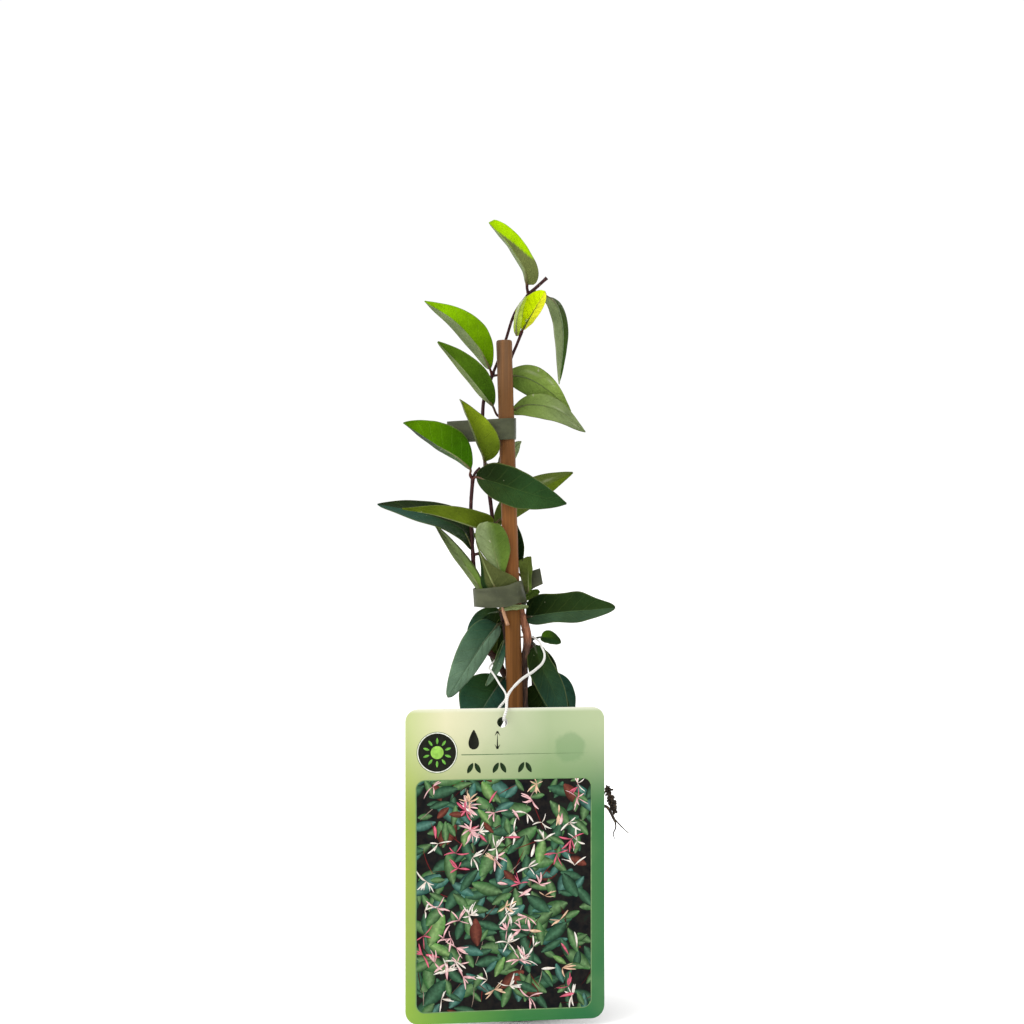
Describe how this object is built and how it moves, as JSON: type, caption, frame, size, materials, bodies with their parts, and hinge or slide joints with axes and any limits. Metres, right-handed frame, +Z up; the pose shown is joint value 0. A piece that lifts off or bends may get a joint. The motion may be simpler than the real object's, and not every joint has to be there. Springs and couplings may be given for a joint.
{
  "type": "potted honeysuckle vine",
  "caption": "Young climbing honeysuckle in a round nursery pot, tied to a cane with plastic tape, with a picture label hung on the stems by a string.",
  "frame": {"origin": "middle of the pot's underside, on the surface it stands on", "axes": "+Z up along the plant; the picture label faces -Y, the front; +X to the right seen from the front"},
  "size_m": [0.1262, 0.1026, 0.3912],
  "materials": {
    "pot_plastic": "moulded dark nursery plastic, faintly ribbed, dull satin",
    "soil": "moist crumbly peat compost with fibres and pale specks",
    "bamboo": "smooth split-free bamboo, weathered grey brown at the top, orange brown below, soft satin",
    "bark": "thin peeling dark brown bark with pale flecks",
    "young_leaf": "fresh light green leaf, satin above, matt grey green below, on dark purple brown stems",
    "green_leaf": "mid green leaf, satin above, matt grey green below, on dark purple brown stems",
    "pale_leaf": "pale matt underside of a leaf",
    "dark_leaf": "old dark blue green leaf, glossy above",
    "tying_tape": "soft grey green plastic tying tape, slightly translucent, satin",
    "label_card": null,
    "string": "thin white elastic string",
    "root": "dry dark root hairs with crumbs of soil"
  },
  "bodies": {
    "root": {"pot": "pot_plastic", "soil": "soil", "cane": "bamboo", "woody_stem": "bark", "shoot_tall": "young_leaf", "shoot_left": "green_leaf", "shoot_back": "young_leaf", "twig_trapped": "pale_leaf", "plant_low_left": "dark_leaf", "plant_low_right": "dark_leaf", "tie_upper": "tying_tape", "tie_lower": "tying_tape", "label": "label_card", "label_string": "string", "string_knot": "string", "root_over_rim": "root"}
  },
  "joints": []
}
